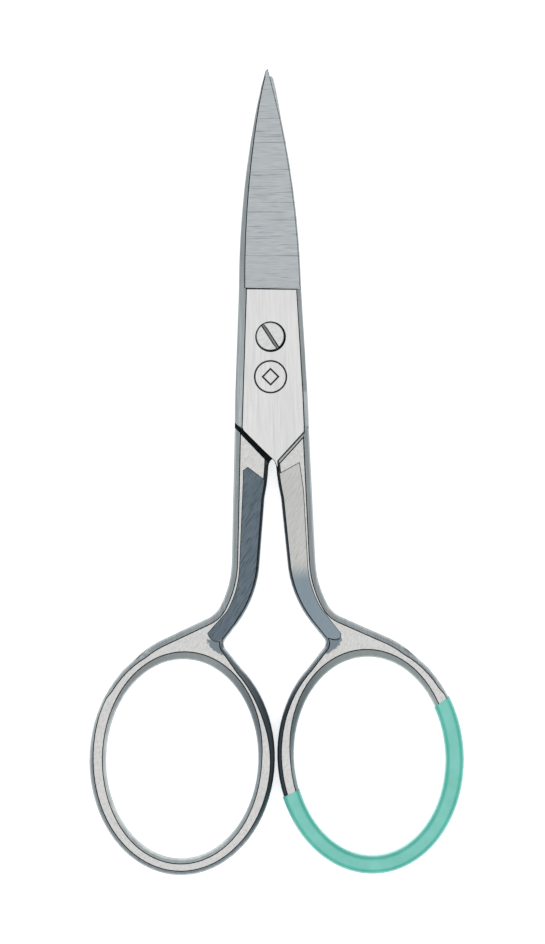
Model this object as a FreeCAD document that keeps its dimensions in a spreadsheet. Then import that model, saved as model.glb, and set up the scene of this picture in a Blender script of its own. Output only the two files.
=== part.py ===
"""Small ring-handled scissors for snipping thread: two crossed forged halves, a slotted pivot
screw and a coloured plastic sleeve on one finger ring.

Frame: millimetres, lying flat, +Z up. The origin is on the pivot axis, on the joint's back face.
+Y runs to the blade tips. The front half lies on top: its blade spine is at -X, its ring at +X.
The rear half is the same forging, turned over about the Y direction.
"""

import FreeCAD
import Part
import math
import os

import Sketcher

V = FreeCAD.Vector
ORIGIN = -1  # the sketch's own origin, in a constraint

doc = FreeCAD.newDocument("ThreadSnips")

# ---------------------------------------------------------------- driving dimensions

DIMENSIONS = {
    # whole object
    "thickness": 3.3,  # shanks and rings, and both halves together at the shoulders
    "shear_gap": 0.06,  # between the two flat inner faces
    # joint, from the shoulders up to the blade's heel
    "joint_drop": 0.2,  # joint face below the shank's flat
    "joint_width_top": 4.25,  # half width at the heel
    "joint_width_mid": 4.93,  # half width below the pivot
    "spine_bevel": 1.05,
    "cutting_side_bevel": 0.6,
    "step_bevel": 0.18,
    # blade
    "heel": 6.6,
    "heel_depth": 0.25,  # blade grind below the joint face
    # shank
    "shank_bevel": 0.8,
    "inner_bevel": 0.5,
    "panel_depth": 0.16,
    # finger ring
    "ring_x": 12.82,
    "ring_y": -57.45,
    "ring_lean": 2.4,  # degrees, the tops lean together
    "ring_outer_width": 12.65,  # half widths and half lengths
    "ring_outer_length": 15.82,
    "ring_inner_width": 10.4,
    "ring_inner_length": 13.62,
    "ring_clear_width": 11.2,  # where the shank stops short of the ring's inner bevel
    "ring_clear_length": 14.42,
    "ring_inner_bevel": 0.65,
    "ring_outer_bevel": 0.5,
    # pivot
    "screw_radius": 1.25,
    "hole_radius": 1.29,
    "head_radius": 1.98,
    "counterbore_radius": 2.08,
    "counterbore_depth": 0.62,
    "head_proud": 0.08,
    "head_lift": 0.02,
    "slot_width": 0.42,
    "slot_depth": 0.36,
    "slot_angle": -58.0,  # degrees from +X
    # plastic sleeve on the front half's ring
    "sleeve_wall": 0.16,
    "sleeve_round": 0.9,
    "sleeve_from": -156.0,  # degrees round the ring's centre from +X
    "sleeve_to": 37.0,
}

sheet = doc.addObject("Spreadsheet::Sheet", "Dims")
for row, (alias, number) in enumerate(DIMENSIONS.items(), start=1):
    sheet.set(f"A{row}", alias)
    sheet.set(f"B{row}", str(number))
    sheet.setAlias(f"B{row}", alias)
doc.recompute()


def dim(alias):
    """The value of a driving dimension. A leading minus gives its negative."""
    sign = -1.0 if alias.startswith("-") else 1.0
    return sign * float(sheet.get(alias.lstrip("-")))


def bind(obj, prop, formula):
    """Ties a property to the sheet. The formula uses plain dimension names."""
    for alias in sorted(DIMENSIONS, key=len, reverse=True):
        formula = formula.replace(f"<{alias}>", f"Dims.{alias}")
    obj.setExpression(prop, formula)


THICKNESS = dim("thickness")
INNER_FACE = THICKNESS / 2 + dim("shear_gap") / 2
JOINT_TOP = THICKNESS - dim("joint_drop")
BASE = -dim("joint_drop")  # every piece is drawn from z = 0 upwards, then lowered to this

# ---------------------------------------------------------------- sketches


def plane(body, role):
    return next(f for f in body.Origin.OriginFeatures if f.Role == role)


def new_sketch(body, name, role="XY_Plane", offset=None):
    sketch = body.newObject("Sketcher::SketchObject", name)
    sketch.AttachmentSupport = [(plane(body, role), "")]
    sketch.MapMode = "FlatFace"
    if offset is not None:
        sketch.AttachmentOffset = offset
    return sketch


def at(x, y, z, turn=0.0, axis=V(0, 0, 1)):
    return FreeCAD.Placement(V(x, y, z), FreeCAD.Rotation(axis, turn))


def coordinate(value):
    return dim(value) if isinstance(value, str) else float(value)


def arc_between(start, end, radius):
    """Arc from start to end. A positive radius turns left on the way, a negative one right."""
    chord = end - start
    half = chord.Length / 2
    side = 1 if radius > 0 else -1
    left = V(-chord.y, chord.x, 0).normalize() * side
    rise = math.sqrt(radius * radius - half * half)
    centre = (start + end) * 0.5 + left * rise
    middle = centre - left * abs(radius)
    return Part.Arc(start, middle, end)


def draw_outline(sketch, steps):
    """A closed outline. A step is (x, y) for a line to that point, or (x, y, radius) for an arc.
    A coordinate is a number, or the name of a driving dimension that it is then tied to."""
    points = [V(coordinate(s[0]), coordinate(s[1]), 0) for s in steps]
    count = len(steps)
    first = sketch.GeometryCount
    for i, step in enumerate(steps):
        start, end = points[i - 1], points[i]
        if len(step) == 3:
            sketch.addGeometry(arc_between(start, end, step[2]), False)
        else:
            sketch.addGeometry(Part.LineSegment(start, end), False)
    for i, step in enumerate(steps):
        following = steps[(i + 1) % count]
        # an arc that turns right is stored end first
        own_end = 1 if len(step) == 3 and step[2] < 0 else 2
        next_start = 2 if len(following) == 3 and following[2] < 0 else 1
        this, after = first + i, first + (i + 1) % count
        sketch.addConstraint(Sketcher.Constraint("Coincident", this, own_end, after, next_start))
        for axis, value in zip("XY", step):
            number = sketch.addConstraint(
                Sketcher.Constraint(f"Distance{axis}", ORIGIN, 1, this, own_end, coordinate(value))
            )
            if isinstance(value, str):
                name = f"corner{i}{axis}"
                sketch.renameConstraint(number, name)
                sign = "-" if value.startswith("-") else ""
                bind(sketch, f"Constraints.{name}", f"{sign}<{value.lstrip('-')}>")
        if len(step) == 3:
            sketch.addConstraint(Sketcher.Constraint("Radius", this, abs(step[2])))


def draw_circle(sketch, alias):
    """A circle on the sketch's origin whose radius is a driving dimension."""
    index = sketch.addGeometry(Part.Circle(V(), V(0, 0, 1), dim(alias)), False)
    sketch.addConstraint(Sketcher.Constraint("Coincident", index, 3, ORIGIN, 1))
    number = sketch.addConstraint(Sketcher.Constraint("Radius", index, dim(alias)))
    sketch.renameConstraint(number, "size")
    bind(sketch, "Constraints.size", f"<{alias}>")


def draw_ellipse(sketch, width_alias, length_alias):
    """An ellipse on the sketch's origin, long axis along the sketch's Y."""
    wide, long = dim(width_alias), dim(length_alias)
    index = sketch.addGeometry(Part.Ellipse(V(0, long, 0), V(wide, 0, 0), V()), False)
    sketch.exposeInternalGeometry(index)
    sketch.addConstraint(Sketcher.Constraint("Coincident", index, 3, ORIGIN, 1))
    major, minor = index + 1, index + 2
    sketch.addConstraint(Sketcher.Constraint("Vertical", major))
    for line, alias in ((major, length_alias), (minor, width_alias)):
        number = sketch.addConstraint(Sketcher.Constraint("Distance", line, 2 * dim(alias)))
        sketch.renameConstraint(number, f"span_{alias}")
        bind(sketch, f"Constraints.span_{alias}", f"2 * <{alias}>")


# ---------------------------------------------------------------- features


def finish(body, feature):
    doc.recompute()
    if not feature.isValid() or feature.Shape.isNull() or not feature.Shape.isValid():
        raise RuntimeError(f"{feature.Name} in {body.Label} failed")
    return feature


def pad(body, sketch, name, length, formula=None):
    feature = body.newObject("PartDesign::Pad", name)
    feature.Profile = sketch
    feature.Length = length
    if formula:
        bind(feature, "Length", formula)
    return finish(body, feature)


def pocket(body, sketch, name, length, upward=False, both_ways=False, formula=None):
    """Cuts down the sketch's normal, up it or both ways, and insists that it removed something."""
    before = body.Shape.Volume
    feature = body.newObject("PartDesign::Pocket", name)
    feature.Profile = sketch
    feature.Reversed = upward
    if both_ways:
        feature.SideType = "Symmetric"
    feature.Length = length
    if formula:
        bind(feature, "Length", formula)
    finish(body, feature)
    if body.Shape.Volume > before - 1e-4:
        raise RuntimeError(f"{name} cut nothing from {body.Label}")
    return feature


def bevel(body, name, wanted, alias):
    """Chamfers every edge that wanted(start, middle, end) picks."""
    base = body.Tip
    picked = []
    for number, edge in enumerate(base.Shape.Edges, start=1):
        first, last = edge.FirstParameter, edge.LastParameter
        spots = [edge.valueAt(first), edge.valueAt((first + last) / 2), edge.valueAt(last)]
        if wanted(*spots):
            picked.append(f"Edge{number}")
    if not picked:
        raise RuntimeError(f"{name} found no edge in {body.Label}")
    feature = body.newObject("PartDesign::Chamfer", name)
    feature.Base = (base, picked)
    feature.Size = dim(alias)
    bind(feature, "Size", f"<{alias}>")
    return finish(body, feature)


# ---------------------------------------------------------------- one forged half

SHANK = [
    (5.06, -12.3),  # shoulder, outer corner
    (0.5, -17.2),  # shoulder, inner corner
    (1.13, -22.0, 30.0),
    (1.88, -30.5),
    (5.0, -39.0, 15.7),
    (6.763, -41.24),
    (6.73, -42.53, -1.0),  # crotch between the shank and the ring
    (3.4, -46.75),  # from here to the next corner it lies inside the ring
    (5.0, -48.0),
    (18.6, -47.2),
    (20.45, -45.3),
    (15.8, -41.37, 13.46),
    (9.06, -38.3),
    (7.35, -36.7, -3.66),
    (5.7, -30.6, -13.84),
]

# recessed ground panels, on the outer face and on the face turned to the other half
OUTER_PANEL = [
    (3.7, -17.2),
    (0.9, -18.7),
    (1.22, -22.0),
    (2.02, -30.6),
    (4.95, -38.7, 15.2),
    (6.6, -40.95),  # down to here it runs out over the belly bevel
    (8.3, -41.5),
    (9.0, -40.45, 0.8),
    (6.45, -37.2),
    (4.62, -30.8, -13.0),
    (4.2, -21.0),
]
INNER_PANEL = [
    (3.35, -17.75),
    (0.6, -19.9),
    (1.22, -22.0),
    (2.02, -30.6),
    (4.95, -38.7, 15.2),
    (6.6, -40.95),
    (7.6, -41.5),
    (9.1, -40.3, 1.6),
    (6.45, -37.4),
    (4.62, -30.9, -13.0),
    (4.0, -20.0),
    (3.95, -18.2),
]


def blade_outline(tip_x, tip_y):
    """The joint and blade, half thickness, reaching back into the shank."""
    return [
        (tip_x, tip_y),
        (tip_x - 0.45, tip_y - 0.7, 0.9),
        (-1.78, 30.0, 60.0),
        ("-joint_width_top", "heel", 130.0),
        ("-joint_width_mid", -7.5),
        (-5.07, -11.55),
        (-1.2, -15.5),  # diagonal edge in front of the other half's shoulder
        (0.3, -16.95),
        (0.9, -18.4),
        (1.6, -18.4),
        (5.0, -14.0),
        (5.06, -12.3),
        ("joint_width_mid", -7.5),
        ("joint_width_top", "heel"),
        (4.1, 6.9),
        (1.62, 30.0, 130.0),
    ]


def on_flat(spots, outer):
    """True for an edge round the shank's and ring's flat."""
    height = THICKNESS if outer else 0.0
    return all(abs(p.z - height) < 2e-3 for p in spots)


def in_ring_hole(point):
    """True for a point no further out than the rim of the ring's hole."""
    across, along = point.x - dim("ring_x"), point.y - dim("ring_y")
    long_enough = math.hypot(across, along) < dim("ring_inner_length") + 0.3
    return long_enough and abs(across) < dim("ring_inner_width") + 0.3


def faces_out(middle):
    """True for the middle of a rim edge on the shank's back, the side away from the other half."""
    if middle.y > -36.0:
        return middle.x > 4.9
    return middle.y > -36.8 - middle.x * 0.47


def faces_in(middle):
    """True for the middle of an outline edge on the shank's belly, the side towards the other half."""
    return not faces_out(middle) and middle.x < 3.2 + 0.36 * max(0.0, -30.0 - middle.y)


def make_ring(label):
    """The bevelled finger ring, as its own body, for a half to take in."""
    body = doc.addObject("PartDesign::Body", f"{label}_ring_blank")
    body.Label = f"{label}_ring_blank"
    place = at(dim("ring_x"), dim("ring_y"), 0, dim("ring_lean"))
    sketch = new_sketch(body, f"{label}_ring_outline", offset=place)
    draw_ellipse(sketch, "ring_outer_width", "ring_outer_length")
    pad(body, sketch, f"{label}_ring", THICKNESS, "<thickness>")
    rim = lambda a, m, b: on_flat((a, m, b), True) or on_flat((a, m, b), False)
    bevel(body, f"{label}_ring_outer_bevel", rim, "ring_outer_bevel")
    place = at(dim("ring_x"), dim("ring_y"), THICKNESS, dim("ring_lean"))
    sketch = new_sketch(body, f"{label}_ring_hole_outline", offset=place)
    draw_ellipse(sketch, "ring_inner_width", "ring_inner_length")
    pocket(body, sketch, f"{label}_ring_hole", THICKNESS, formula="<thickness>")
    hole = lambda a, m, b: rim(a, m, b) and in_ring_hole(m)
    bevel(body, f"{label}_ring_hole_bevel", hole, "ring_inner_bevel")
    return body


def make_blade(label, tip_x, tip_y):
    """The joint plate and blade, as its own body, for a half to take in."""
    body = doc.addObject("PartDesign::Body", f"{label}_blade_blank")
    body.Label = f"{label}_blade_blank"
    sketch = new_sketch(body, f"{label}_blade_outline", offset=at(0, 0, INNER_FACE))
    draw_outline(sketch, blade_outline(tip_x, tip_y))
    length = "(<thickness> - <shear_gap>) / 2 - <joint_drop>"
    pad(body, sketch, f"{label}_blade", JOINT_TOP - INNER_FACE, length)

    # bevels down both sides; the later grind narrows the spine's towards the tip
    top_edge = lambda a, m, b: min(a.z, m.z, b.z) > JOINT_TOP - 1e-3 and m.z < JOINT_TOP + 1e-3
    bevel(
        body,
        f"{label}_spine_bevel",
        lambda a, m, b: top_edge(a, m, b) and m.x < -1.0 and abs(a.y - b.y) > 3 and abs(a.x - b.x) < 2.6,
        "spine_bevel",
    )
    bevel(
        body,
        f"{label}_cutting_side_bevel",
        lambda a, m, b: top_edge(a, m, b) and m.x > 4.3 and abs(a.x - b.x) < 1.0 and m.y < 5,
        "cutting_side_bevel",
    )

    # ground flat of the blade, sloping from the spine down to the edge and on to the tip
    normal = V(0.105, 0.0125, 1.0)
    heel_plane = FreeCAD.Placement(
        V(-3.3, dim("heel"), JOINT_TOP - dim("heel_depth")), FreeCAD.Rotation(V(0, 0, 1), normal)
    )
    sketch = new_sketch(body, f"{label}_grind_area", offset=heel_plane)
    draw_outline(sketch, [(-3.0, 0.2), (-3.0, 34.0), (11.0, 34.0), (11.0, -0.3)])
    pocket(body, sketch, f"{label}_grind", 3.0, upward=True)
    return body


def make_half(label, tip_x, tip_y, on_top):
    body = doc.addObject("PartDesign::Body", label)
    body.Label = label

    sketch = new_sketch(body, f"{label}_shank_outline")
    draw_outline(sketch, SHANK)
    pad(body, sketch, f"{label}_shank", THICKNESS, "<thickness>")
    for side, height in (("outer", THICKNESS), ("inner", 0.0)):
        level = lambda *spots: all(abs(p.z - height) < 1e-3 for p in spots)
        back = lambda a, m, b: level(a, m, b) and faces_out(m)
        belly = lambda a, m, b: level(a, m, b) and faces_in(m) and -46.9 < m.y < -16.0
        bevel(body, f"{label}_shank_back_bevel_{side}", back, "shank_bevel")
        bevel(body, f"{label}_shank_belly_bevel_{side}", belly, "inner_bevel")
    step = lambda a, m, b: all(abs(p.z - THICKNESS) < 1e-3 for p in (a, m, b)) and m.y > -16.0
    bevel(body, f"{label}_shoulder_step_bevel", step, "step_bevel")
    # the ring's own bevel has to stay clear of the shank
    place = at(dim("ring_x"), dim("ring_y"), THICKNESS, dim("ring_lean"))
    sketch = new_sketch(body, f"{label}_ring_clearance_outline", offset=place)
    draw_ellipse(sketch, "ring_clear_width", "ring_clear_length")
    pocket(body, sketch, f"{label}_ring_clearance", THICKNESS, formula="<thickness>")

    ring = make_ring(label)
    fuse = body.newObject("PartDesign::Boolean", f"{label}_with_ring")
    fuse.Type = "Fuse"
    fuse.addObjects([ring])
    finish(body, fuse)

    fuse = body.newObject("PartDesign::Boolean", f"{label}_with_blade")
    fuse.Type = "Fuse"
    fuse.addObjects([make_blade(label, tip_x, tip_y)])
    finish(body, fuse)

    # recessed panels
    for outer, steps in ((True, OUTER_PANEL), (False, INNER_PANEL)):
        name = f"{label}_outer_panel" if outer else f"{label}_inner_panel"
        sketch = new_sketch(body, f"{name}_outline", offset=at(0, 0, THICKNESS if outer else 0))
        draw_outline(sketch, steps)
        depth = dim("panel_depth")
        pocket(body, sketch, name, depth, upward=not outer, formula="<panel_depth>")

    # pivot hole
    if on_top:
        sketch = new_sketch(body, f"{label}_pivot_hole_circle", offset=at(0, 0, THICKNESS))
        draw_circle(sketch, "hole_radius")
        pocket(body, sketch, f"{label}_pivot_hole", THICKNESS, formula="<thickness>")
        sketch = new_sketch(body, f"{label}_counterbore_circle", offset=at(0, 0, JOINT_TOP))
        draw_circle(sketch, "counterbore_radius")
        depth = dim("counterbore_depth")
        pocket(body, sketch, f"{label}_counterbore", depth, formula="<counterbore_depth>")
    else:
        sketch = new_sketch(body, f"{label}_screw_hole_circle", offset=at(0, 0, THICKNESS))
        draw_circle(sketch, "screw_radius")
        pocket(body, sketch, f"{label}_screw_hole", THICKNESS, formula="<thickness>")
    # the rear half is turned over, about Y at half the thickness
    body.Placement = at(0, 0, BASE) if on_top else at(0, 0, BASE + THICKNESS, 180.0, V(0, 1, 0))
    doc.recompute()
    return body


# ---------------------------------------------------------------- pivot screw


def make_screw():
    label = "pivot_screw"
    body = doc.addObject("PartDesign::Body", label)
    body.Label = label
    seat = JOINT_TOP - dim("counterbore_depth") + dim("head_lift")
    low = dim("joint_drop")
    top = JOINT_TOP + dim("head_proud")
    sketch = new_sketch(body, f"{label}_shaft_circle", offset=at(0, 0, low))
    draw_circle(sketch, "screw_radius")
    pad(body, sketch, f"{label}_shaft", seat - low + 0.1)
    sketch = new_sketch(body, f"{label}_head_circle", offset=at(0, 0, seat))
    draw_circle(sketch, "head_radius")
    formula = "<counterbore_depth> - <head_lift> + <head_proud>"
    pad(body, sketch, f"{label}_head", top - seat, formula)
    base = body.Tip
    rim = [
        f"Edge{number}"
        for number, edge in enumerate(base.Shape.Edges, start=1)
        if len(edge.Vertexes) == 1 and edge.CenterOfMass.z > top - 1e-3
    ]
    dome = body.newObject("PartDesign::Fillet", f"{label}_head_round")
    dome.Base = (base, rim)
    dome.Radius = 0.22
    finish(body, dome)
    sketch = new_sketch(body, f"{label}_slot_outline", offset=at(0, 0, top, dim("slot_angle")))
    half = dim("slot_width") / 2
    draw_outline(sketch, [(-3.0, -half), (3.0, -half), (3.0, half), (-3.0, half)])
    pocket(body, sketch, f"{label}_slot", dim("slot_depth"), formula="<slot_depth>")
    body.Placement = at(0, 0, BASE)
    return body


# ---------------------------------------------------------------- plastic sleeve


def make_sleeve(half):
    """A thin coat over part of the ring: a fatter rounded ring, less the ring, cut to its sector."""
    label = "ring_sleeve"
    wall = dim("sleeve_wall")
    lean = at(dim("ring_x"), dim("ring_y"), BASE - wall, dim("ring_lean"))
    height = THICKNESS + 2 * wall

    def oval_block(width, length):
        edge = Part.Ellipse(V(0, length, 0), V(width, 0, 0), V()).toShape()
        return Part.Face(Part.Wire([edge])).extrude(V(0, 0, height))

    outer = oval_block(dim("ring_outer_width") + wall, dim("ring_outer_length") + wall)
    inner = oval_block(dim("ring_inner_width") - wall, dim("ring_inner_length") - wall)
    tube = outer.cut(inner)
    rims = [e for e in tube.Edges if len(e.Vertexes) == 1]
    tube = tube.makeFillet(dim("sleeve_round"), rims)
    tube.Placement = lean
    fat = doc.addObject("Part::Feature", "sleeve_stock")
    fat.Shape = tube
    start, end = dim("sleeve_from"), dim("sleeve_to")
    sector = doc.addObject("Part::Cylinder", "sleeve_sector")
    sector.Radius = 30
    sector.Height = THICKNESS + 2
    sector.Angle = end - start
    bind(sector, "Angle", "<sleeve_to> - <sleeve_from>")
    sector.Placement = at(dim("ring_x"), dim("ring_y"), BASE - 1, start)
    part = doc.addObject("Part::Common", "sleeve_piece")
    part.Base, part.Tool = fat, sector
    sleeve = doc.addObject("Part::Cut", label)
    sleeve.Base, sleeve.Tool = part, half
    sleeve.Label = label
    doc.recompute()
    return sleeve


# ---------------------------------------------------------------- build and write

front = make_half("front_half", 0.1, 36.6, True)
rear = make_half("rear_half", -0.45, 35.7, False)
screw = make_screw()
sleeve = make_sleeve(front)
doc.recompute()

for item in doc.Objects:
    if "Invalid" in item.State or "Error" in item.State:
        raise RuntimeError(f"{item.Label}: {item.State}")
os.makedirs("parts", exist_ok=True)
for piece in (front, rear, screw, sleeve):
    shape = piece.Shape
    if shape.isNull() or not shape.isValid():
        raise RuntimeError(f"{piece.Label} is empty or not valid")
    shape.exportStep(f"parts/{piece.Label}.step")
    box = shape.BoundBox
    print(piece.Label, f"solids {len(shape.Solids)} volume {shape.Volume:.1f}")
    print("   ", [round(n, 2) for n in (box.XMin, box.YMin, box.ZMin, box.XMax, box.YMax, box.ZMax)])
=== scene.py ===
import math

import bmesh
import bpy
from mathutils import Matrix, Vector


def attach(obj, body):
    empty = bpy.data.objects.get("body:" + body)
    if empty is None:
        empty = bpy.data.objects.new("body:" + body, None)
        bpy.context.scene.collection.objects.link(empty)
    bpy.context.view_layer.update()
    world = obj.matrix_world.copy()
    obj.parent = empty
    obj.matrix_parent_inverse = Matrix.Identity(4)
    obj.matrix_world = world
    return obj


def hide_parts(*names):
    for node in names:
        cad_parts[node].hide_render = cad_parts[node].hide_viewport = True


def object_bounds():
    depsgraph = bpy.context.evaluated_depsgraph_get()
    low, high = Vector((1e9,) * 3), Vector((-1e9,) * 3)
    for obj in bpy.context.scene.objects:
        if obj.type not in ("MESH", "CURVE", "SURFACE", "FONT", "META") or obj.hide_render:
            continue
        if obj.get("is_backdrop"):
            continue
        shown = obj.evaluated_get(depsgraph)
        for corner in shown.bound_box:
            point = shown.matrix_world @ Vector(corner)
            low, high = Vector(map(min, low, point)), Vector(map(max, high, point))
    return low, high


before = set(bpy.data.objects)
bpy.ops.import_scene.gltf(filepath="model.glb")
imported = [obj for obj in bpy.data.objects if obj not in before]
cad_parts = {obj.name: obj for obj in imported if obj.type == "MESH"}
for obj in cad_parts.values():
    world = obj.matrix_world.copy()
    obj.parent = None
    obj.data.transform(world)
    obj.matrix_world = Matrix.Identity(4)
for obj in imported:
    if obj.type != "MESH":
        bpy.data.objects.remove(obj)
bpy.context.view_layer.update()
scene = bpy.context.scene
mm = 0.001

print("thread scissors: frame loaded")


def hexColour(code):
    # sRGB hex to the linear values that shaders use
    parts = [int(code[i:i + 2], 16) / 255 for i in (1, 3, 5)]
    return [c / 12.92 if c <= 0.04045 else ((c + 0.055) / 1.055) ** 2.4 for c in parts] + [1.0]


def addNode(tree, kind, settings=None, inputs=None):
    # one node: its own settings, then each input as a value or as another node's output
    node = tree.nodes.new(kind)
    for name, value in (settings or {}).items():
        setattr(node, name, value)
    for name, value in (inputs or {}).items():
        if isinstance(value, bpy.types.NodeSocket):
            tree.links.new(value, node.inputs[name])
        else:
            node.inputs[name].default_value = value
    return node


# camera: straight down on the flat-lying scissors, with a very slight roll

cameraSetup = {
    "aim": (0.0176, -18.435),  # mm, the point of the table the view is centred on
    "viewLength": 128.61,  # mm from the view's top to its bottom
    "roll": 0.75,  # degrees
    "distance": 0.62,  # m from the lens to the object's top
    "objectTop": 3.0,  # mm, height at which the view's length is measured
}


def makeCamera(setup):
    data = bpy.data.cameras.new("camera")
    data.sensor_width = 36
    data.lens = data.sensor_width * setup["distance"] / (setup["viewLength"] * mm)
    data.clip_start = 0.01
    camera = bpy.data.objects.new("camera", data)
    x, y = setup["aim"]
    camera.location = (x * mm, y * mm, setup["distance"] + setup["objectTop"] * mm)
    camera.rotation_euler = (0, 0, -math.radians(setup["roll"]))
    scene.collection.objects.link(camera)
    scene.camera = camera


makeCamera(cameraSetup)


# plain pale floor and soft studio light

studio = {
    "floorSize": 3.0,
    "floorColour": "#F4F5F6",
    "floorGlow": 0.62,
    "skyTop": 1.45,  # straight overhead, what the level faces mirror
    "skyLeft": 0.4,  # level with the table, on the -X side
    "skyRight": 0.28,  # level with the table, on the +X side
    "skySpread": 0.8,  # the side levels are reached this far out, 1 is the horizon
    "skyRise": (0.5, 0.96),  # between these heights the sky goes from dim to bright, 1 is overhead
    "skyLowColour": "#E3EBF0",
    "skyTopColour": "#FFFFFF",
}


def makeStudio(setup):
    bpy.ops.mesh.primitive_plane_add(size=setup["floorSize"], location=(0, 0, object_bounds()[0].z))
    floor = bpy.context.object
    floor.name = "floor"
    paint = bpy.data.materials.new("paintedTableTop")
    paint.use_nodes = True
    shader = paint.node_tree.nodes["Principled BSDF"]
    shader.inputs["Base Color"].default_value = hexColour(setup["floorColour"])
    shader.inputs["Roughness"].default_value = 0.9
    shader.inputs["Emission Color"].default_value = hexColour("#FFFFFF")
    # a back-lit table, so shadows stay faint
    shader.inputs["Emission Strength"].default_value = setup["floorGlow"]
    floor.data.materials.append(paint)
    floor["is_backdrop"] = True

    world = bpy.data.worlds.new("studioSky")
    scene.world = world
    world.use_nodes = True
    tree = world.node_tree
    tree.nodes.clear()
    place = addNode(tree, "ShaderNodeTexCoord")
    parts = addNode(tree, "ShaderNodeSeparateXYZ", None, {"Vector": place.outputs["Generated"]})
    side = addNode(tree, "ShaderNodeMapRange", {"clamp": True}, {
        "Value": parts.outputs["X"], "From Min": -setup["skySpread"], "From Max": setup["skySpread"],
        "To Min": setup["skyLeft"], "To Max": setup["skyRight"]})
    dim, bright = setup["skyRise"]
    rise = addNode(tree, "ShaderNodeMapRange", {"clamp": True, "interpolation_type": "SMOOTHSTEP"}, {
        "Value": parts.outputs["Z"], "From Min": dim, "From Max": bright})
    strength = addNode(tree, "ShaderNodeMix", {"data_type": "FLOAT"}, {
        "Factor": rise.outputs["Result"], 2: side.outputs["Result"], 3: setup["skyTop"]})
    tint = addNode(tree, "ShaderNodeMix", {"data_type": "RGBA"}, {
        "Factor": rise.outputs["Result"],
        6: hexColour(setup["skyLowColour"]), 7: hexColour(setup["skyTopColour"])})
    sky = addNode(tree, "ShaderNodeBackground", None, {
        "Color": tint.outputs[2], "Strength": strength.outputs[0]})
    addNode(tree, "ShaderNodeOutputWorld", None, {"Surface": sky.outputs["Background"]})


makeStudio(studio)
scene.view_settings.view_transform = "Standard"
print("thread scissors: camera and studio ready")


# finishes

# shared by every steel finish
steelGrain = {
    "cloudSize": 6.0,  # mm, patches of slightly darker tone
    "streakEdge": 0.05,  # how softly a streak ends
    "glossSwing": 0.06,  # roughness above and below the finish's own
    "reliefDepth": 0.02,  # mm
}


def stretched(tree, vector, length, width):
    # noise drawn out along X into lines of the given length and width in mm
    spread = addNode(tree, "ShaderNodeMapping", None, {
        "Vector": vector, "Scale": (1 / (length * mm), 1 / (width * mm), 1 / (length * mm))})
    lines = addNode(tree, "ShaderNodeTexNoise", None, {
        "Vector": spread.outputs["Vector"], "Scale": 1.0, "Detail": 3.0, "Roughness": 0.6})
    return lines.outputs["Fac"]


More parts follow.
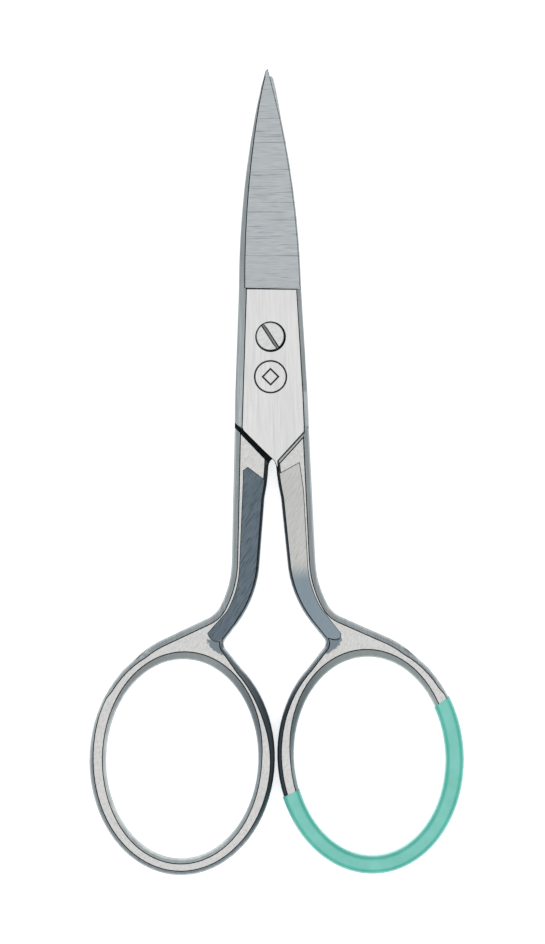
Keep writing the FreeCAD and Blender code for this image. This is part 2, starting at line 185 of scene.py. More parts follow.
def groundSteel(name, look):
    # stainless steel, ground or brushed one way: fine scratches that shift colour and gloss,
    # longer streaks here and there, and a shallow relief
    material = bpy.data.materials.new(name)
    material.use_nodes = True
    tree = material.node_tree
    shader = tree.nodes["Principled BSDF"]
    place = addNode(tree, "ShaderNodeTexCoord").outputs["Object"]
    turned = addNode(tree, "ShaderNodeMapping", {"vector_type": "TEXTURE"}, {
        "Vector": place, "Rotation": (0, 0, math.radians(look["turn"]))}).outputs["Vector"]
    scratch = stretched(tree, turned, look["lineLength"], look["lineWidth"])
    streak = stretched(tree, turned, look["streakLength"], look["streakWidth"])
    blotch = addNode(tree, "ShaderNodeTexNoise", None, {
        "Vector": place, "Scale": 1 / (steelGrain["cloudSize"] * mm), "Detail": 2.0})
    colour = addNode(tree, "ShaderNodeValToRGB", None, {"Fac": scratch})
    colour.color_ramp.elements[0].position = 0.30
    colour.color_ramp.elements[0].color = hexColour(look["dark"])
    colour.color_ramp.elements[1].position = 0.66
    colour.color_ramp.elements[1].color = hexColour(look["light"])
    cut = addNode(tree, "ShaderNodeMapRange", None, {
        "Value": streak, "From Min": look["streakShare"],
        "From Max": look["streakShare"] + steelGrain["streakEdge"],
        "To Min": look["streakDepth"], "To Max": 0.0})
    lined = addNode(tree, "ShaderNodeMix", {"data_type": "RGBA"}, {
        "Factor": cut.outputs["Result"], 6: colour.outputs["Color"], 7: hexColour(look["streak"])})
    cloud = addNode(tree, "ShaderNodeMapRange", None, {
        "Value": blotch.outputs["Fac"], "From Min": 0.3, "From Max": 0.7,
        "To Min": 0.0, "To Max": look["cloud"]})
    clouded = addNode(tree, "ShaderNodeMix", {"data_type": "RGBA"}, {
        "Factor": cloud.outputs["Result"], 6: lined.outputs[2], 7: hexColour(look["dark"])})
    shown = clouded.outputs[2]
    spot = addNode(tree, "ShaderNodeSeparateXYZ", None, {"Vector": place})
    off = addNode(tree, "ShaderNodeMath", {"operation": "ABSOLUTE"}, {0: spot.outputs["X"]})
    if "paintedShadeTo" in look:
        # painted shade: a darker tone further down the shank
        fade = addNode(tree, "ShaderNodeMapRange", {"interpolation_type": "SMOOTHSTEP"}, {
            "Value": spot.outputs["Y"],
            "From Min": look["paintedShadeEnd"] * mm, "From Max": look["paintedShadeFrom"] * mm})
        shown = addNode(tree, "ShaderNodeMix", {"data_type": "RGBA"}, {
            "Factor": fade.outputs["Result"], 6: hexColour(look["paintedShadeTo"]), 7: shown}).outputs[2]
    if "paintedFacingShadeTo" in look:
        # painted shade: darker towards the line where the halves face each other
        near = addNode(tree, "ShaderNodeMapRange", {"interpolation_type": "SMOOTHSTEP"}, {
            "Value": off.outputs["Value"],
            "From Min": look["paintedFacingShadeFrom"] * mm, "From Max": look["paintedFacingShadeEnd"] * mm})
        shown = addNode(tree, "ShaderNodeMix", {"data_type": "RGBA"}, {
            "Factor": near.outputs["Result"], 6: hexColour(look["paintedFacingShadeTo"]), 7: shown}).outputs[2]
    if "patchTo" in look:
        # a rough oval patch in the crotch between shank and ring, where only a small wheel reaches;
        # noise added to the distance from its middle makes the rim ragged
        folded = addNode(tree, "ShaderNodeCombineXYZ", None, {
            "X": off.outputs["Value"], "Y": spot.outputs["Y"]}).outputs["Vector"]
        x, y = look["patchAt"]
        long, wide = look["patchSize"]
        oval = addNode(tree, "ShaderNodeMapping", {"vector_type": "TEXTURE"}, {
            "Vector": folded, "Location": (x * mm, y * mm, 0),
            "Rotation": (0, 0, math.radians(look["patchTurn"])), "Scale": (long * mm, wide * mm, 1)})
        reach = addNode(tree, "ShaderNodeVectorMath", {"operation": "LENGTH"}, {
            0: oval.outputs["Vector"]})
        ragged = addNode(tree, "ShaderNodeTexNoise", None, {
            "Vector": place, "Scale": 1 / (look["patchGrain"] * mm), "Detail": 3.0})
        spread = addNode(tree, "ShaderNodeMath", {"operation": "ADD"}, {
            0: reach.outputs["Value"], 1: ragged.outputs["Fac"]})
        rim = addNode(tree, "ShaderNodeMapRange", None, {
            "Value": spread.outputs["Value"],
            "From Min": look["patchRim"][0], "From Max": look["patchRim"][1]})
        shown = addNode(tree, "ShaderNodeMix", {"data_type": "RGBA"}, {
            "Factor": rim.outputs["Result"], 6: hexColour(look["patchTo"]), 7: shown}).outputs[2]
    tree.links.new(shown, shader.inputs["Base Color"])
    gloss = addNode(tree, "ShaderNodeMapRange", None, {
        "Value": scratch, "From Min": 0.3, "From Max": 0.7,
        "To Min": look["rough"] + steelGrain["glossSwing"],
        "To Max": look["rough"] - steelGrain["glossSwing"]})
    tree.links.new(gloss.outputs["Result"], shader.inputs["Roughness"])
    relief = addNode(tree, "ShaderNodeBump", None, {
        "Height": scratch, "Strength": look["relief"],
        "Distance": steelGrain["reliefDepth"] * mm})
    tree.links.new(relief.outputs["Normal"], shader.inputs["Normal"])
    shader.inputs["Metallic"].default_value = 1.0
    return material


# lines and streaks: turn in degrees from X, sizes in mm; streakShare is how many, streakDepth how dark

# stainless steel joint plate, belt-brushed along its length: nearly white and silky
brushedPlate = {
    "turn": 90, "lineLength": 5.0, "lineWidth": 0.16, "dark": "#B9B9B9", "light": "#C3C3C2",
    "streak": "#A3A6A8", "streakLength": 9.0, "streakWidth": 0.4, "streakShare": 0.34,
    "streakDepth": 0.3, "cloud": 0.3, "rough": 0.3, "relief": 0.12}
# stainless steel blade, wheel-ground across: greyer, with thin wheel marks from side to side
crossGroundBlade = {
    "turn": 0, "lineLength": 2.2, "lineWidth": 0.16, "dark": "#969B9E", "light": "#A6AAAC",
    "streak": "#5C6469", "streakLength": 7.0, "streakWidth": 0.22, "streakShare": 0.36,
    "streakDepth": 0.55, "cloud": 0.3, "rough": 0.34, "relief": 0.2}
# stainless steel bevels, buffed along the edge: smooth grey bands
buffedBevel = {
    "turn": 90, "lineLength": 6.0, "lineWidth": 0.2, "dark": "#979D9F", "light": "#ADB2B3",
    "streak": "#7F888C", "streakLength": 8.0, "streakWidth": 0.5, "streakShare": 0.36,
    "streakDepth": 0.3, "cloud": 0.4, "rough": 0.38, "relief": 0.05}
# the same bevels on the side turned to the other half, with painted shade towards the middle where the
# halves face each other
innerBevel = dict(buffedBevel, dark="#9AA3A7", light="#B0B8BB",
                  paintedFacingShadeTo="#6A747A", paintedFacingShadeFrom=1.6, paintedFacingShadeEnd=6.5)
# the bevels inside the finger rings, burnished by use: brighter, but with painted shade where the
# rings face each other;
# the pattern is coarser than real rubbing marks, because finer lines break up round the narrow curve
holeBevel = dict(buffedBevel, dark="#B9BEBE", light="#C9CDCB", lineLength=1.4, lineWidth=1.0,
                 streakDepth=0.0, rough=0.5, relief=0.03, paintedFacingShadeTo="#8E969A", paintedFacingShadeFrom=2.0, paintedFacingShadeEnd=9.0)
# stainless steel shank hollows on the outer faces, hand-ground on a wheel: slanting scratches,
# paler at the joint and darker further down the shank, which is painted shade
paleHollow = {
    "turn": 62, "lineLength": 1.6, "lineWidth": 0.14, "dark": "#A2A2A0", "light": "#B2B1AE",
    "streak": "#73787B", "streakLength": 2.2, "streakWidth": 0.16, "streakShare": 0.36,
    "streakDepth": 0.3, "cloud": 0.4, "rough": 0.3, "relief": 0.1,
    "paintedShadeTo": "#748189", "paintedShadeFrom": -30.5, "paintedShadeEnd": -33.5}
# the same on the faces turned to the other half: coarser wheel scratches on a slate-dark tone that is
# painted shade
paintedShadeHollow = {
    "turn": 58, "lineLength": 1.6, "lineWidth": 0.14, "dark": "#4E5961", "light": "#5E6971",
    "streak": "#30383E", "streakLength": 2.4, "streakWidth": 0.22, "streakShare": 0.40,
    "streakDepth": 0.6, "cloud": 0.4, "rough": 0.3, "relief": 0.3}
# stainless steel flats of shanks and rings, satin-finished with fine grit: soft even grain
satinFlat = {
    "turn": 60, "lineLength": 0.5, "lineWidth": 0.18, "dark": "#AFAFAF", "light": "#C0BFBD",
    "streak": "#8F9193", "streakLength": 0.6, "streakWidth": 0.25, "streakShare": 0.36,
    "streakDepth": 0.4, "cloud": 0.35, "rough": 0.32, "relief": 0.2,
    "patchTo": "#69737A", "patchAt": (7.75, -42.15), "patchTurn": 38, "patchSize": (1.7, 0.75),
    "patchGrain": 0.5, "patchRim": (1.35, 1.55)}
# turned screw head, fine lathe marks
turnedScrew = {
    "turn": 20, "lineLength": 1.2, "lineWidth": 0.16, "dark": "#B2B3B3", "light": "#C2C2C2",
    "streak": "#9A9C9D", "streakLength": 1.5, "streakWidth": 0.3, "streakShare": 0.34,
    "streakDepth": 0.4, "cloud": 0.2, "rough": 0.3, "relief": 0.15}
# floor of the screw's slot, sawn and never polished: a dull grey
sawnSlot = dict(turnedScrew, turn=122, dark="#6C6C69", light="#7E7E7A", rough=0.45)
# painted shade in sharp corners: thin dark lines
paintedShadeLine = {
    "turn": 0, "lineLength": 0.5, "lineWidth": 0.3, "dark": "#15191B", "light": "#2E3539",
    "streak": "#0E1112", "streakLength": 0.6, "streakWidth": 0.3, "streakShare": 0.34,
    "streakDepth": 0.5, "cloud": 0.3, "rough": 0.45, "relief": 0.1}
# painted shade, almost black: in the gap where the halves meet, round the screw's hole, in its slot
# and in recesses
paintedShadeRoot = dict(paintedShadeLine, dark="#131618", light="#262B2F", rough=0.5)


def dippedVinyl(name, look):
    # soft vinyl dipped over the steel: even colour, faint unevenness, a mild gloss
    material = bpy.data.materials.new(name)
    material.use_nodes = True
    tree = material.node_tree
    shader = tree.nodes["Principled BSDF"]
    place = addNode(tree, "ShaderNodeTexCoord")
    cloud = addNode(tree, "ShaderNodeTexNoise", None, {
        "Vector": place.outputs["Object"], "Scale": 1 / (look["cloudSize"] * mm), "Detail": 3.0})
    colour = addNode(tree, "ShaderNodeValToRGB", None, {"Fac": cloud.outputs["Fac"]})
    colour.color_ramp.elements[0].position = 0.35
    colour.color_ramp.elements[0].color = hexColour(look["dark"])
    colour.color_ramp.elements[1].position = 0.65
    colour.color_ramp.elements[1].color = hexColour(look["light"])
    grain = addNode(tree, "ShaderNodeTexNoise", None, {
        "Vector": place.outputs["Object"], "Scale": 1 / (look["grainSize"] * mm), "Detail": 2.0})
    relief = addNode(tree, "ShaderNodeBump", None, {
        "Height": grain.outputs["Fac"], "Strength": 0.2, "Distance": 0.03 * mm})
    tree.links.new(colour.outputs["Color"], shader.inputs["Base Color"])
    tree.links.new(relief.outputs["Normal"], shader.inputs["Normal"])
    shader.inputs["Roughness"].default_value = 0.24
    shader.inputs["Specular IOR Level"].default_value = 0.8
    shader.inputs["Coat Weight"].default_value = 1.0
    shader.inputs["Coat Roughness"].default_value = 0.16
    return material


vinylLook = {"dark": "#4FC6B2", "light": "#60D0BE", "cloudSize": 3.0, "grainSize": 0.35}


def etchedOxide(name, look):
    # black oxide burnt in by a marking laser: flat and matte, with a slightly uneven edge of tone
    material = bpy.data.materials.new(name)
    material.use_nodes = True
    tree = material.node_tree
    shader = tree.nodes["Principled BSDF"]
    place = addNode(tree, "ShaderNodeTexCoord").outputs["Object"]
    grain = addNode(tree, "ShaderNodeTexNoise", None, {
        "Vector": place, "Scale": 1 / (look["grainSize"] * mm)})
    colour = addNode(tree, "ShaderNodeValToRGB", None, {"Fac": grain.outputs["Fac"]})
    colour.color_ramp.elements[0].color = hexColour(look["dark"])
    colour.color_ramp.elements[1].color = hexColour(look["light"])
    tree.links.new(colour.outputs["Color"], shader.inputs["Base Color"])
    shader.inputs["Roughness"].default_value = 0.7
    return material


oxideLook = {"dark": "#0C0E0F", "light": "#23272A", "grainSize": 0.2}

plateSteel = groundSteel("brushedStainlessPlate", brushedPlate)
bladeSteel = groundSteel("crossGroundStainlessBlade", crossGroundBlade)
bevelSteel = groundSteel("buffedStainlessBevel", buffedBevel)
# painted shade on the bevels turned to the other half
innerBevelSteel = groundSteel("stainlessInnerBevelPaintedShade", innerBevel)
holeBevelSteel = groundSteel("burnishedStainlessHoleBevel", holeBevel)
paleHollowSteel = groundSteel("handGroundStainlessOuterHollow", paleHollow)
# slate-dark tone painted as shade
paintedShadeHollowSteel = groundSteel("handGroundStainlessInnerHollowPaintedShade", paintedShadeHollow)
flatSteel = groundSteel("satinStainlessFlat", satinFlat)
screwSteel = groundSteel("turnedStainlessScrew", turnedScrew)
slotSteel = groundSteel("sawnStainlessSlot", sawnSlot)
# dark lines of painted shade in sharp corners
paintedShadeLineSteel = groundSteel("stainlessCornerPaintedShade", paintedShadeLine)
# almost black painted shade in the gap, round the screw's hole and in recesses
paintedShadeRootSteel = groundSteel("stainlessRootPaintedShade", paintedShadeRoot)
vinyl = dippedVinyl("dippedTurquoiseVinyl", vinylLook)
markOxide = etchedOxide("laserMarkedOxide", oxideLook)
print("thread scissors: finishes ready")


# the two forged halves: closed copies of the forging, reshaped as by hand, one finish per ground face;
# every place here is the front half's, in mm, and the rear half is turned over into it and back

halfShape = {
    "jointDrop": 0.2,  # joint plate below the shank's flat
    "hollowDepth": 0.16,
    "innerFace": 1.48,  # height of the face turned to the other half
    "heelY": 6.6,  # end of the joint plate, where the blade begins
    "shankTop": -12.5,  # the shank's corners are rounded below this, the blade's and joint's above
    "forkTop": -16.5,  # the halves part below this, and the sides turned to each other get painted shade
    "ringTop": -39,  # the finger ring's own bevels lie below this
    "shankRound": 0.32,  # round between a bevel and the side below it
    "bladeRound": 0.14,
    "roundedSlope": (30, 75),  # degrees, only corners between these are rounded
    "lineWidth": 0.11,  # dark line along the joint plate's bevels
    "pivotReach": 2.3,  # faces nearer to the pivot than this belong to the screw's hole
    "pivotLine": 0.15,  # dark line round the screw's hole, as a share of lineWidth
    "stub": 0.16,  # shorter edges are closed up
    "sharpAngle": 14,
    "bevelSharpAngle": 24,  # the same between two bevels
    # where bevels run into each other and are left crisp: place and reach
    "meetings": (
        ((17.8, -43.2), 1.3), ((0.5, -18.1), 1.6), ((7.2, -42.6), 0.9), ((-0.3, 36.2), 1.6)),
    # the shoulder's line, as direction away from the pivot and distance
    "shoulder": (0.732, -0.682, 12.09),
    "shoulderBand": 0.3,  # half width of the strip that holds the shoulder's wall
    "rootWidth": 1.1,  # strip of the inner face beside the shoulder that gets painted shade
    # the step above the shoulder: its upper edge, as distance from the shoulder and tolerance,
    # how far it runs out, and where its slope lies, as largest x and distance from the shoulder
    "stepEdge": (0.18, 0.12),
    "stepWiden": 0.36,
    "stepSlope": (4.2, 0.7),
    "heelNarrow": 0.24,  # the joint plate's corner at the cutting side stands in by this
    "facetFrom": (2.94, -17.06),  # small facet above the inner hollow
    "facetTo": (0.58, -18.05),
    "facetCorner": (3.35, -17.75),
    "facetSpan": (-20.5, -16.5),
    "ringCentre": (12.82, -57.45),
    "ringLean": 2.4,  # degrees
    "ringMiddle": (11.5, 14.7),  # half width and half length of the line halfway across the ring
    "ringBand": (0.8, 1.13),  # the ring's bevels end between these, as shares of ringMiddle
    # how much the ring's bevels are changed from an even width
    "outerBelow": 0.05,  # outer bevel wider towards the bottom
    "outerSpan": (118, 400),  # degrees round the ring that have an outer bevel of the ring's own
    "belowFork": 0.4,  # outer bevel wider just below the fork, towards the other ring
    "belowBack": 0.25,  # outer bevel narrower below the end of the shank's back
    "holeTop": 0.2,  # hole's bevel wider at the top, and as much narrower at the bottom
    "holeUpper": (0.08, 0.24),  # wider over the upper half, and more so towards the fork
    "holeSides": (0.17, 0.03),  # narrower at the two sides than at top and bottom, and all round
    "backTaper": 0.42,  # the shank's wide back bevel gives this up towards the ring
    "backTaperRun": (9.3, 7),  # from this x on, over this length
}

halfFinishes = {
    "plate": plateSteel, "blade": bladeSteel, "flat": flatSteel,
    "bevel": bevelSteel, "innerBevel": innerBevelSteel, "holeBevel": holeBevelSteel,
    "outerHollow": paleHollowSteel, "innerHollow": paintedShadeHollowSteel,
    "line": paintedShadeLineSteel, "root": paintedShadeRootSteel}
finishNumber = {name: number for number, name in enumerate(halfFinishes)}

# how wide the dark line of painted shade is between two surfaces, as a share of lineWidth
lineShare = {
    ("bevel", "plate"): 1.0, ("plate", "wall"): 0.75, ("bevel", "flat"): 0.75, ("flat", "wall"): 0.5,
    ("bevel", "blade"): 0.7, ("blade", "wall"): 0.6, ("facet", "flat"): 0.4, ("facet", "wall"): 0.55,
    ("bevel", "facet"): 0.6, ("outerHollow", "wall"): 0.3, ("innerHollow", "wall"): 0.3,
    ("bevel", "outerHollow"): 0.7, ("bevel", "innerHollow"): 0.7, ("bevel", "bevel"): 0.35}


# limits for cleaning up a copy and for telling its ground surfaces apart, in mm and degrees
tell = {
    "sameSpot": 0.002,  # corners this close are one
    "speck": 0.001,  # edges shorter than this hold no face
    "sameLevel": 0.004,
    "tip": 34,  # edges beyond this stay, or the blade's point would be lost
    "sameFlat": 0.6,  # faces turned less than this are one
    "samePair": 12,  # triangles turned less than this make a quad
    "upright": 0.3,  # a face whose normal rises less than this is a side wall
    "lying": 0.99,  # a face whose normal rises more than this is level
    "height": 0.02,  # how close to its level a level face is
    "exact": 0.01,
}


def closeStubs(form, stub, levels=None):
    # closes edges shorter than the stub, left where two ground faces nearly meet, within their own
    # level: all of them, or those on the given levels
    for _ in range(3):
        short = {}
        for edge in form.edges:
            start, end = edge.verts
            if levels and not any(abs(start.co.z / mm - level) < 0.005 for level in levels):
                continue
            level = abs(start.co.z - end.co.z) < tell["sameLevel"] * mm
            isTip = max(start.co.y, end.co.y) >= tell["tip"] * mm
            taken = {start, end} & {*short, *short.values()}
            if level and not isTip and edge.calc_length() < stub * mm and not taken:
                short[start] = end
        bmesh.ops.weld_verts(form, targetmap=short)
    bmesh.ops.dissolve_degenerate(form, dist=tell["speck"] * mm, edges=form.edges)


def mergedCopy(node, name, stub=0.0):
    # the part's own shape as one closed mesh, with as few faces as its flats allow
    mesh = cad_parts[node].data.copy()
    mesh.name = name
    form = bmesh.new()
    form.from_mesh(mesh)
    bmesh.ops.remove_doubles(form, verts=form.verts, dist=tell["sameSpot"] * mm)
    closeStubs(form, stub)
    bmesh.ops.dissolve_limit(form, angle_limit=math.radians(tell["sameFlat"]),
                             verts=form.verts, edges=form.edges)
    triangles = [face for face in form.faces if len(face.verts) == 3]
    bmesh.ops.join_triangles(form, faces=triangles, angle_shape_threshold=math.radians(180),
                             angle_face_threshold=math.radians(tell["samePair"]))
    form.normal_update()
    return mesh, form


def ringPlace(x, y, shape):
    # degrees round the ring, and how far out: below 1 is the hole's side
    lean = math.radians(shape["ringLean"])
    dx, dy = x - shape["ringCentre"][0], y - shape["ringCentre"][1]
    across = dx * math.cos(lean) + dy * math.sin(lean)
    along = dy * math.cos(lean) - dx * math.sin(lean)
    wide, long = shape["ringMiddle"]
    return math.degrees(math.atan2(along, across)) % 360, math.hypot(across / wide, along / long)


def beyondShoulder(x, y, shape):
    # distance from the shoulder's line, above zero on the shank's side
    across, along, distance = shape["shoulder"]
    return across * x + along * y - distance


def surfaceOf(face, shape):
    # the ground surface that a face belongs to
    middle, normal = face.calc_center_median() / mm, face.normal
    low, high = shape["low"], shape["high"]
    if abs(normal.z) < tell["upright"]:
        return "wall"
    if middle.y > shape["heelY"] - 0.1 and normal.z > 0.9:
        return "blade"
    if abs(normal.z) < tell["lying"]:
        return "bevel"
    if abs(middle.z - shape["innerFace"]) < tell["height"]:
        return "innerFace"
    if abs(middle.z - high + shape["jointDrop"]) < tell["exact"]:
        return "plate"
    if min(high - middle.z, middle.z - low) < tell["height"]:
        return "facet" if normal.z < 0 and inFacet(middle, shape) else "flat"
    if abs(high - middle.z - shape["hollowDepth"]) < tell["height"]:
        return "outerHollow"
    if abs(middle.z - low - shape["hollowDepth"]) < tell["height"]:
        return "innerHollow"
    return "well"


def rightOf(start, end, point):
    # whether the point is on the right when looking from start to end
    return (end[0] - start[0]) * (point[1] - start[1]) < (end[1] - start[1]) * (point[0] - start[0])


def inFacet(point, shape):
    below = not rightOf(shape["facetFrom"], shape["facetTo"], point)
    inside = rightOf(shape["facetFrom"], shape["facetCorner"], point)
    lowest, highest = shape["facetSpan"]
    return below and inside and lowest < point[1] < highest


def finishOf(face, surface, shape):
    # the finish that a face shows; faces in the gap, round the screw's hole, in recesses and on the
    # sides turned to the other half get painted shade
    middle = face.calc_center_median() / mm
    if surface in ("plate", "blade", "outerHollow", "innerHollow", "flat"):
        return surface
    if surface == "facet":
        return "outerHollow"
    beyond = beyondShoulder(middle.x, middle.y, shape)
    if surface == "well" or math.hypot(middle.x, middle.y) < shape["pivotReach"]:
        return "root"
    stepEnd, stepReach = shape["stepSlope"]
    if surface == "bevel" and middle.x < stepEnd and abs(beyond) < stepReach:
        return "blade"
    if surface == "innerFace":
        return "root" if beyond > -shape["rootWidth"] else "blade"
    if middle.y < shape["forkTop"]:
        if middle.y < shape["ringTop"] and ringPlace(middle.x, middle.y, shape)[1] < 1:
            return "holeBevel"
        if face.normal.x < 0.1:
            return "innerBevel"
    elif surface == "wall" and abs(beyond) < shape["shoulderBand"]:
        return "root"
    return "bevel"


def cutFaces(form, faces, point, direction):
    # cuts only these faces along a plane
    edges = {edge for face in faces for edge in face.edges}
    corners = {vert for face in faces for vert in face.verts}
    bmesh.ops.bisect_plane(form, geom=list(faces) + list(edges) + list(corners), dist=1e-7,
                           plane_co=point, plane_no=direction)


def reshape(form, shape):
    # moves the edges of the ground flats to where a grinder by hand left them
    high, low = shape["high"], shape["low"]
    for vert in form.verts:
        x, y, z = vert.co / mm
        onFlat = min(abs(z - high), abs(z - low)) < tell["exact"]
        onPlate = abs(z - high + shape["jointDrop"]) < tell["exact"]
        slopes = any(tell["upright"] < abs(face.normal.z) < tell["lying"] for face in vert.link_faces)
        if not (slopes and (onFlat or onPlate)):
            continue
        if not onFlat:
            if x > 3 and abs(y - shape["heelY"]) < 0.1:
                vert.co.x -= shape["heelNarrow"] * mm
            continue
        away, tolerance = shape["stepEdge"]
        isStep = abs(z - high) < tell["exact"] and y > -18
        if isStep and abs(beyondShoulder(x, y, shape) - away) < tolerance:
            vert.co.y -= shape["stepWiden"] * mm
            continue
        angle, reach = ringPlace(x, y, shape)
        turn = math.radians(angle)
        outwards = Vector((x - shape["ringCentre"][0], y - shape["ringCentre"][1], 0)).normalized()
        start, length = shape["backTaperRun"]
        innermost, outermost = shape["ringBand"]
        first, last = shape["outerSpan"]
        if y < -38 and x > start and reach > outermost:
            # the shank's wide back bevel narrows into the ring's
            vert.co += outwards * shape["backTaper"] * min(1, (x - start) / length) * mm
        elif y < shape["ringTop"] and innermost < reach < 1:
            # the hole's bevel is widest at the top and narrow at both sides
            rise = max(0, math.sin(turn))
            upper, forkward = shape["holeUpper"]
            sides, even = shape["holeSides"]
            wider = shape["holeTop"] * math.sin(turn) + rise * (upper - forkward * math.cos(turn))
            wider -= sides * math.cos(2 * turn) + even
            vert.co += outwards * wider * mm
        elif y < shape["ringTop"] and 1 < reach < outermost and not last - 360 <= angle <= first:
            # the outer bevel is widest just below the fork
            fork = max(0, math.cos(turn - math.radians(140))) ** 8
            back = max(0, math.cos(turn - math.radians(40))) ** 8
            wider = shape["outerBelow"] * (1 - math.sin(turn))
            wider += shape["belowFork"] * fork - shape["belowBack"] * back
            vert.co -= outwards * wider * mm


def makeHalf(node, name, body, turnedOver, shape):
    mesh, form = mergedCopy(node, name, shape["stub"])
    mesh.materials.clear()
    for finish in halfFinishes.values():
        mesh.materials.append(finish)
    heights = [vert.co.z for vert in form.verts]
    shape = dict(shape, low=min(heights) / mm, high=max(heights) / mm)
    centre = (0, 0, (min(heights) + max(heights)) / 2)
    turn = Matrix.Rotation(math.pi, 3, "Y")
    if turnedOver:
        bmesh.ops.rotate(form, verts=form.verts, cent=centre, matrix=turn)
        form.normal_update()
    reshape(form, shape)
    form.normal_update()

    # the strip of painted shade beside the shoulder and the small facet get edges of their own
    across, along, distance = shape["shoulder"]
    away = Vector((across, along, 0))
    inner = [face for face in form.faces if surfaceOf(face, shape) == "innerFace"]
    cutFaces(form, inner, away * (distance - shape["rootWidth"]) * mm, away)
    lowest, highest = shape["facetSpan"]
    for end in ("facetTo", "facetCorner"):
        start = Vector(shape["facetFrom"] + (0,))
        line = Vector(shape[end] + (0,)) - start
        small = [face for face in form.faces if face.normal.z < -tell["lying"]
                 and abs(face.calc_center_median().z / mm - shape["low"]) < tell["height"]
                 and lowest - 0.5 < face.calc_center_median().y / mm < highest + 0.5]
        cutFaces(form, small, start * mm, line.cross(Vector((0, 0, 1))))
    form.normal_update()

    # round the corners between the bevels and the sides
    gentle, steep = shape["roundedSlope"]
    for width, isShank in ((shape["shankRound"], True), (shape["bladeRound"], False)):
        corners = []
        for edge in form.edges:
            if len(edge.link_faces) != 2:
                continue
            kinds = {surfaceOf(face, shape) for face in edge.link_faces}
            middle = (edge.verts[0].co + edge.verts[1].co) / 2 / mm
            slope = math.degrees(edge.calc_face_angle())
            beyond = beyondShoulder(middle.x, middle.y, shape)
            step = abs(beyond) < shape["shoulderBand"] and middle.x < 5
            meets = any(math.dist(middle.xy, place) < reach for place, reach in shape["meetings"])
            here = (middle.y < shape["shankTop"]) == isShank
            if kinds == {"bevel", "wall"} and gentle < slope < steep and here and not (step or meets):
                corners.append(edge)
        bmesh.ops.bevel(form, geom=corners, offset=width * mm, offset_type="OFFSET", affect="EDGES",
                        segments=5, profile=0.5, material=-1, clamp_overlap=False)
        form.normal_update()

    high, low, sunk = shape["high"], shape["low"], shape["hollowDepth"]
    closeStubs(form, shape["stub"], (high - shape["jointDrop"], high - sunk, low + sunk))
    form.normal_update()

    # one finish per face, and a weight on each edge that gets a dark line of painted shade
    weight = form.edges.layers.float.new("bevel_weight_edge")
    for face in form.faces:
        face.material_index = finishNumber[finishOf(face, surfaceOf(face, shape), shape)]
        face.smooth = True
    for edge in form.edges:
        kinds = tuple(sorted(surfaceOf(face, shape) for face in edge.link_faces))
        slope = math.degrees(edge.calc_face_angle(0))
        sharp = slope > shape["bevelSharpAngle" if kinds == ("bevel", "bevel") else "sharpAngle"]
        middle = (edge.verts[0].co + edge.verts[1].co) / 2 / mm
        atPivot = math.hypot(middle.x, middle.y) < shape["pivotReach"]
        if kinds in lineShare and (sharp or kinds == ("facet", "flat")):
            edge[weight] = shape["pivotLine"] if atPivot else lineShare[kinds]
    if turnedOver:
        bmesh.ops.rotate(form, verts=form.verts, cent=centre, matrix=turn)
    form.to_mesh(mesh)
    form.free()
    mesh.set_sharp_from_angle(angle=math.radians(shape["sharpAngle"]))
    half = bpy.data.objects.new(name, mesh)
    scene.collection.objects.link(half)
    # the dark lines along the weighted edges are painted shade
    edge = half.modifiers.new("paintedShadeCornerLines", "BEVEL")
    edge.width = shape["lineWidth"] * mm
    edge.segments = 2
    edge.limit_method = "WEIGHT"
    edge.material = finishNumber["line"]
    edge.use_clamp_overlap = False
    edge.harden_normals = True
    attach(half, body)
    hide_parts(node)


frontShape = dict(halfShape, belowFork=0.0)
makeHalf("front_half", "frontHalfSteel", "front", False, frontShape)
makeHalf("rear_half", "rearHalfSteel", "rear", True, halfShape)
print("thread scissors: both halves ready")


# pivot screw: a copy whose head sits a little off centre in its hole, as a filed-off head does

screwShape = {
    "headShift": (-0.06, 0.06), "headShrink": 0.985,
    "seat": 2.25,  # height of the head's underside
    "slotReach": 1.7,  # the slot lies within this distance of the axis
    "slotLine": 0.07,  # dark line of painted shade along the slot's edges
    "lineAngle": 50,  # degrees, only edges sharper than this get it
}


def makeScrew(shape):
    mesh, form = mergedCopy("pivot_screw", "pivotScrewSteel")
    # the slot's walls and the lines along its edges get painted shade
    finishes = {"head": screwSteel, "line": paintedShadeLineSteel, "slotSide": paintedShadeRootSteel, "slotFloor": slotSteel}
    number = {name: index for index, name in enumerate(finishes)}
    mesh.materials.clear()
    for finish in finishes.values():
        mesh.materials.append(finish)
    shrink = shape["headShrink"]
    for vert in form.verts:
        if vert.co.z > shape["seat"] * mm:
            vert.co.x = vert.co.x * shrink + shape["headShift"][0] * mm
            vert.co.y = vert.co.y * shrink + shape["headShift"][1] * mm
    form.normal_update()
    top = max(vert.co.z for vert in form.verts)
    weight = form.edges.layers.float.new("bevel_weight_edge")
    gap = tell["exact"] * mm
    for face in form.faces:
        middle = face.calc_center_median()
        within = math.hypot(middle.x, middle.y) < shape["slotReach"] * mm
        part = "head"
        if within and shape["seat"] * mm + gap < middle.z < top - gap:
            part = "slotSide" if abs(face.normal.z) < tell["upright"] else "slotFloor"
        face.smooth = False
        face.material_index = number[part]
    for edge in form.edges:
        inSlot = any(face.material_index > number["line"] for face in edge.link_faces)
        if inSlot and edge.calc_face_angle(0) > math.radians(shape["lineAngle"]):
            edge[weight] = 1.0
    form.to_mesh(mesh)
    form.free()
    screw = bpy.data.objects.new("pivotScrewSteel", mesh)
    scene.collection.objects.link(screw)
    edge = screw.modifiers.new("paintedShadeSlotLines", "BEVEL")
    edge.width = shape["slotLine"] * mm
    edge.segments = 2
    edge.limit_method = "WEIGHT"
    edge.material = number["line"]
    edge.use_clamp_overlap = False
    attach(screw, "rear")
    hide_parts("pivot_screw")


makeScrew(screwShape)


# vinyl coat over part of the finger ring: a smooth closed copy

coatShape = {"sharpAngle": 35}  # degrees, edges sharper than this stay crisp


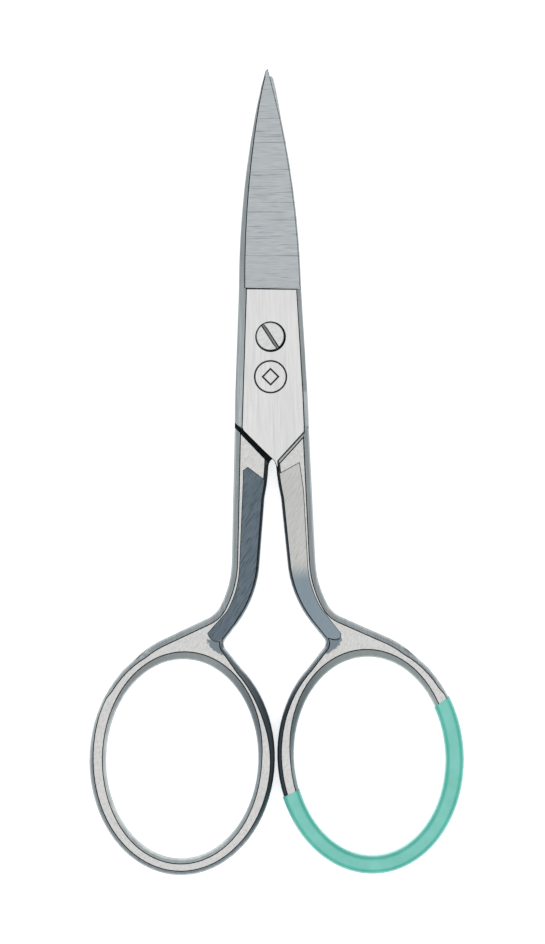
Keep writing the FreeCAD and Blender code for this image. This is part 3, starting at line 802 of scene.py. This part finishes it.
def makeCoat(shape):
    mesh, form = mergedCopy("ring_sleeve", "ringCoatVinyl")
    for face in form.faces:
        face.smooth = True
    form.to_mesh(mesh)
    form.free()
    mesh.materials.clear()
    mesh.materials.append(vinyl)
    mesh.set_sharp_from_angle(angle=math.radians(shape["sharpAngle"]))
    coat = bpy.data.objects.new("ringCoatVinyl", mesh)
    scene.collection.objects.link(coat)
    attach(coat, "front")
    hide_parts("ring_sleeve")


makeCoat(coatShape)


# etched mark on the joint plate: a plain ring round a plain diamond

markShape = {
    "centre": (-0.08, -5.45), "plateTop": 2.9, "sunk": 0.004, "height": 0.012,
    "ringRadius": 2.28, "diamondRadius": 1.25, "line": 0.24}


def etchedLoop(form, radius, corners, shape):
    # a flat closed line of the given width, as a low slab
    made = bmesh.ops.create_circle(form, cap_ends=True, radius=radius * mm, segments=corners)
    outline = {face for vert in made["verts"] for face in vert.link_faces}
    bmesh.ops.inset_region(form, faces=list(outline), thickness=shape["line"] * mm,
                           use_even_offset=True, use_boundary=True)
    bmesh.ops.delete(form, geom=list(outline), context="FACES")


def makeMark(shape):
    form = bmesh.new()
    etchedLoop(form, shape["ringRadius"], 72, shape)
    etchedLoop(form, shape["diamondRadius"], 4, shape)
    sheet = list(form.faces)
    raised = bmesh.ops.extrude_face_region(form, geom=sheet, use_keep_orig=True)
    lifted = [item for item in raised["geom"] if isinstance(item, bmesh.types.BMVert)]
    bmesh.ops.translate(form, verts=lifted, vec=(0, 0, shape["height"] * mm))
    x, y = shape["centre"]
    foot = shape["plateTop"] - shape["sunk"]
    bmesh.ops.translate(form, verts=form.verts, vec=(x * mm, y * mm, foot * mm))
    bmesh.ops.recalc_face_normals(form, faces=form.faces)
    mesh = bpy.data.meshes.new("etchedMark")
    form.to_mesh(mesh)
    form.free()
    mesh.materials.append(markOxide)
    mark = bpy.data.objects.new("etchedMark", mesh)
    scene.collection.objects.link(mark)
    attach(mark, "front")


makeMark(markShape)
print("thread scissors: screw, coat and mark ready")
